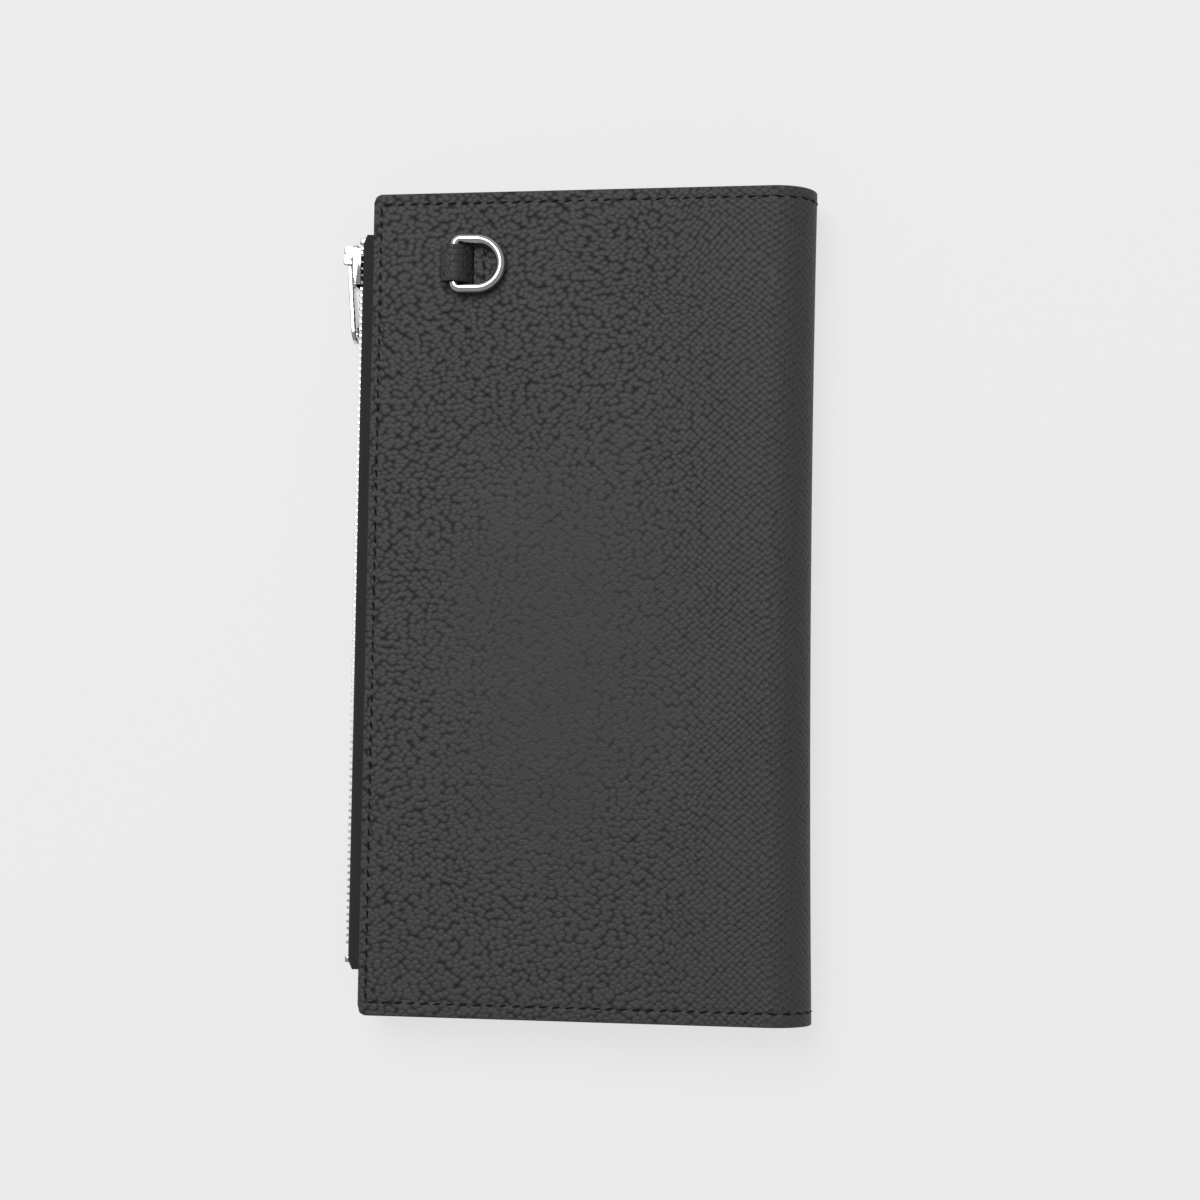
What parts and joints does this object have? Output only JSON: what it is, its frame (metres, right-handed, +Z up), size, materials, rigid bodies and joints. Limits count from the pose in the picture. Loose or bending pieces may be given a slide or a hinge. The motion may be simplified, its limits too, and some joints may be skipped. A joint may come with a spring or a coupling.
{
  "type": "long wallet",
  "caption": "Long black grained leather bifold wallet with a metal zip pocket on its back cover, card slots inside and a D-ring on a leather tab.",
  "frame": {"origin": "on the underside of the front cover, halfway across the closed wallet and halfway up it", "axes": "+X to the spine, +Y to the top of the wallet, +Z up through its thickness from the front cover to the back cover"},
  "size_m": [0.1105, 0.19, 0.0187],
  "materials": {
    "grained_leather": "pebble grain, satin",
    "smooth_leather": "fine grain, satin",
    "lining_fabric": "matt woven",
    "zip_tape_fabric": "matt twill",
    "black_thread": "waxed",
    "zip_metal": "polished",
    "polished_metal": "polished"
  },
  "bodies": {
    "front_half": {"front_card_panel": "smooth_leather", "front_card_seam": "black_thread", "front_card_slot_1": "smooth_leather", "front_card_slot_2": "smooth_leather", "front_card_slot_3": "smooth_leather", "front_card_slot_4": "smooth_leather", "front_cover": "grained_leather", "front_lining": "lining_fabric", "front_seam_thread": "black_thread"},
    "spine_strip_1": {"spine_leather_1": "grained_leather", "spine_lining_1": "lining_fabric"},
    "spine_strip_2": {"spine_leather_2": "grained_leather", "spine_lining_2": "lining_fabric"},
    "back_half": {"back_card_seam": "black_thread", "back_card_slot_1": "smooth_leather", "back_card_slot_2": "smooth_leather", "back_card_slot_3": "smooth_leather", "back_card_slot_4": "smooth_leather", "back_cover": "grained_leather", "back_lining": "lining_fabric", "back_seam_thread": "black_thread", "pocket_gusset_bottom": "smooth_leather", "pocket_gusset_top": "smooth_leather", "pocket_panel": "smooth_leather", "pocket_spine_welt": "smooth_leather", "ring_tab": "grained_leather", "tab_stitches": "black_thread", "zip_bottom_stop": "zip_metal", "zip_tape_inner": "zip_tape_fabric", "zip_tape_outer": "zip_tape_fabric", "zip_teeth_inner": "zip_metal", "zip_teeth_outer": "zip_metal", "zip_top_stops": "zip_metal"},
    "slider": {"slider_body": "polished_metal", "slider_crown": "polished_metal", "pull_pin": "polished_metal"},
    "pull": {"pull_tab": "polished_metal"},
    "ring": {"d_ring": "polished_metal"}
  },
  "joints": [
    {"name": "spine_fold_1", "type": "hinge", "parent": "front_half", "child": "spine_strip_1", "pos_m": [0.04744, 0, 0], "axis": [0, 1, 0], "range_deg": [0, 59.2]},
    {"name": "spine_fold_2", "type": "hinge", "parent": "spine_strip_1", "child": "spine_strip_2", "pos_m": [0.05237, 0, 0.0088], "axis": [0, 1, 0], "range_deg": [0, 59.2]},
    {"name": "spine_fold_3", "type": "hinge", "parent": "spine_strip_2", "child": "back_half", "pos_m": [0.04709, 0, 0.0174], "axis": [0, 1, 0], "range_deg": [0, 59.2]},
    {"name": "zip_slide", "type": "slide", "parent": "back_half", "child": "slider", "axis": [0, -1, 0], "range_m": [0, 0.1546]},
    {"name": "pull_swing", "type": "hinge", "parent": "slider", "child": "pull", "pos_m": [-0.05706, 0.0797, 0.00981], "axis": [0.0401, 0, -0.9992], "range_deg": [0, 110]},
    {"name": "ring_swing", "type": "hinge", "parent": "back_half", "child": "ring", "pos_m": [-0.03111, 0.0777, 0.01666], "axis": [0, -1, 0], "range_deg": [0, 190]}
  ],
  "couplings": [
    {"joint": "spine_fold_2", "follows": "spine_fold_1", "ratio": 1},
    {"joint": "spine_fold_3", "follows": "spine_fold_1", "ratio": 1}
  ]
}
